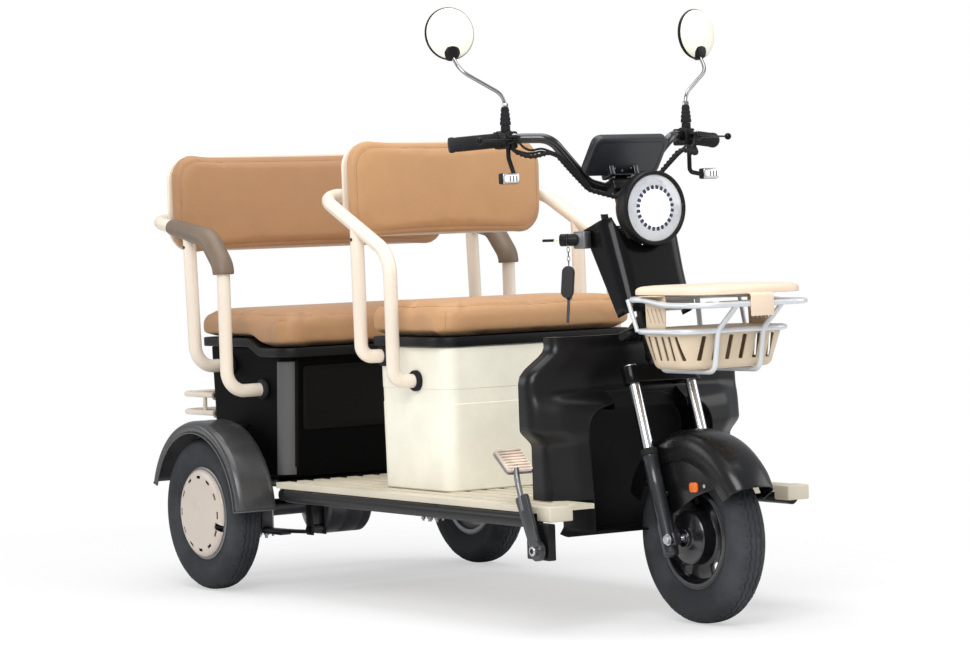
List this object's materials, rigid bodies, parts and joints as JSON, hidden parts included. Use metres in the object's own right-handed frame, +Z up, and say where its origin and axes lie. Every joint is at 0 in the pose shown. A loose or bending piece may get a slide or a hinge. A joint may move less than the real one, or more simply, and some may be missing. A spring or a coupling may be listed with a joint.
{
  "type": "electric passenger tricycle",
  "caption": "Open electric tricycle with front and rear bench over storage boxes, tube arm rails, telescopic fork, handlebar controls and a lidded front basket.",
  "frame": {"origin": "on the ground, under the middle of the vehicle's length and width", "axes": "+X forward towards the front wheel, +Y to the rider's left, +Z up"},
  "size_m": [2.0361, 0.882, 1.3497],
  "materials": {
    "black_paint": "satin",
    "black_plastic": "satin",
    "black_rubber": "matte",
    "tyre": "matte",
    "cream_plastic": "gloss",
    "cream_paint": "gloss",
    "tan_leather": "satin",
    "brown_plastic": "satin",
    "beige_plastic": "satin",
    "peach_plastic": "gloss",
    "silver_paint": "metallic",
    "chrome": "polished",
    "dark_metal": "satin",
    "grey_metal": "satin",
    "lamp_white": "clear",
    "battery_blue": "matte"
  },
  "bodies": {
    "chassis": {"main_frame": "black_paint", "front_frame": "black_paint", "floor_board": "beige_plastic", "rear_axle_housing": "dark_metal", "rear_rack": "cream_paint", "leaf_spring_right": "dark_metal", "leaf_spring_left": "dark_metal", "rear_mudguard_right": "black_plastic", "rear_mudguard_left": "black_plastic", "front_seat_box": "cream_plastic", "rear_seat_box": "black_plastic", "front_seat_rail": "cream_paint", "rear_seat_rail": "cream_paint", "front_backrest": "tan_leather", "rear_backrest": "tan_leather", "arm_grip_right": "brown_plastic", "arm_grip_left": "brown_plastic", "battery_pack": "battery_blue", "leg_shield": "black_paint", "front_panel": "black_paint", "headlight_housing": "black_plastic", "headlight_lens": "lamp_white", "basket_frame": "silver_paint", "basket_tub": "beige_plastic", "ignition_lock": "black_plastic"},
    "rear_wheel_right": {"rear_tyre_right": "tyre", "rear_rim_right": "grey_metal", "rear_wheel_cap_right": "cream_paint"},
    "rear_wheel_left": {"rear_tyre_left": "tyre", "rear_rim_left": "grey_metal", "rear_wheel_cap_left": "cream_paint"},
    "front_wheel": {"front_tyre": "tyre", "front_rim": "dark_metal"},
    "front_seat": {"front_seat_base": "black_plastic", "front_seat_cushion": "tan_leather"},
    "rear_seat": {"rear_seat_base": "black_plastic", "rear_seat_cushion": "tan_leather"},
    "basket_lid": {"basket_lid": "peach_plastic"},
    "brake_pedal": {"brake_pedal": "dark_metal"},
    "ignition_key": {"ignition_key": "chrome"},
    "steering": {"fork_upper": "chrome", "handlebar": "black_paint", "display_unit": "black_plastic", "cable_loom": "black_rubber", "switch_housing_right": "black_plastic", "switch_housing_left": "black_plastic", "turn_signal_right": "black_plastic", "turn_signal_left": "black_plastic", "left_grip": "black_rubber"},
    "fork_lower": {"fork_slider_right": "dark_metal", "fork_slider_left": "dark_metal", "front_axle": "chrome", "front_mudguard": "black_paint"},
    "throttle": {"throttle_grip": "black_rubber"},
    "brake_lever_right": {"brake_lever_right": "black_paint"},
    "brake_lever_left": {"brake_lever_left": "black_paint"},
    "mirror_right": {"mirror_right": "cream_paint"},
    "mirror_left": {"mirror_left": "cream_paint"},
    "horn_button": {"horn_button": "brown_plastic"},
    "turn_switch": {"turn_switch": "brown_plastic"}
  },
  "joints": [
    {"name": "steering_turn", "type": "hinge", "parent": "chassis", "child": "steering", "pos_m": [0.63777, 0, 0.56538], "axis": [-0.309, 0, 0.9511], "range_deg": [-35, 35]},
    {"name": "fork_travel", "type": "slide", "parent": "steering", "child": "fork_lower", "axis": [-0.309, 0, 0.9511], "range_m": [0, 0.05], "stiffness_N_per_m": 12000, "springref_m": -0.05},
    {"name": "front_wheel_turn", "type": "hinge", "parent": "fork_lower", "child": "front_wheel", "pos_m": [0.78385, 0, 0.187], "axis": [0, 1, 0], "continuous": true},
    {"name": "rear_wheel_right_turn", "type": "hinge", "parent": "chassis", "child": "rear_wheel_right", "pos_m": [-0.69115, -0.386, 0.187], "axis": [0, 1, 0], "continuous": true},
    {"name": "rear_wheel_left_turn", "type": "hinge", "parent": "chassis", "child": "rear_wheel_left", "pos_m": [-0.69115, 0.386, 0.187], "axis": [0, 1, 0], "continuous": true},
    {"name": "front_seat_lift", "type": "hinge", "parent": "chassis", "child": "front_seat", "pos_m": [0.19485, 0, 0.5978], "axis": [0, 1, 0], "range_deg": [0, 75]},
    {"name": "rear_seat_lift", "type": "hinge", "parent": "chassis", "child": "rear_seat", "pos_m": [-0.42915, 0, 0.567], "axis": [0, 1, 0], "range_deg": [0, 70]},
    {"name": "basket_lid_lift", "type": "hinge", "parent": "chassis", "child": "basket_lid", "pos_m": [0.71385, 0, 0.7108], "axis": [0, -1, 0], "range_deg": [0, 85]},
    {"name": "brake_pedal_press", "type": "hinge", "parent": "chassis", "child": "brake_pedal", "pos_m": [0.69485, -0.3705, 0.18], "axis": [0, 1, 0], "range_deg": [0, 18], "stiffness_Nm_per_rad": 8, "springref_deg": -11.46},
    {"name": "ignition_key_turn", "type": "hinge", "parent": "chassis", "child": "ignition_key", "pos_m": [0.48609, -0.14259, 0.832], "axis": [-0.7507, -0.6606, 0], "range_deg": [0, 90]},
    {"name": "throttle_twist", "type": "hinge", "parent": "steering", "child": "throttle", "pos_m": [0.41085, -0.31, 1.05092], "axis": [-0.3736, -0.925, -0.0697], "range_deg": [0, 70], "stiffness_Nm_per_rad": 0.3, "springref_deg": -14.32},
    {"name": "brake_lever_right_squeeze", "type": "hinge", "parent": "steering", "child": "brake_lever_right", "pos_m": [0.47458, -0.2463, 1.05472], "axis": [0, 0, -1], "range_deg": [0, 18], "stiffness_Nm_per_rad": 1.5, "springref_deg": -14.32},
    {"name": "brake_lever_left_squeeze", "type": "hinge", "parent": "steering", "child": "brake_lever_left", "pos_m": [0.47458, 0.2463, 1.05472], "axis": [0, 0, 1], "range_deg": [0, 18], "stiffness_Nm_per_rad": 1.5, "springref_deg": -14.32},
    {"name": "mirror_right_swivel", "type": "hinge", "parent": "steering", "child": "mirror_right", "pos_m": [0.44057, -0.2463, 1.10672], "axis": [0, 0, 1], "range_deg": [-30, 30]},
    {"name": "mirror_left_swivel", "type": "hinge", "parent": "steering", "child": "mirror_left", "pos_m": [0.44057, 0.2463, 1.10672], "axis": [0, 0, 1], "range_deg": [-30, 30]},
    {"name": "horn_button_press", "type": "slide", "parent": "steering", "child": "horn_button", "axis": [1, 0, 0], "range_m": [0, 0.002], "stiffness_N_per_m": 300, "springref_m": -0.003},
    {"name": "turn_switch_slide", "type": "slide", "parent": "steering", "child": "turn_switch", "axis": [0, 1, 0], "range_m": [-0.003, 0.003]}
  ]
}
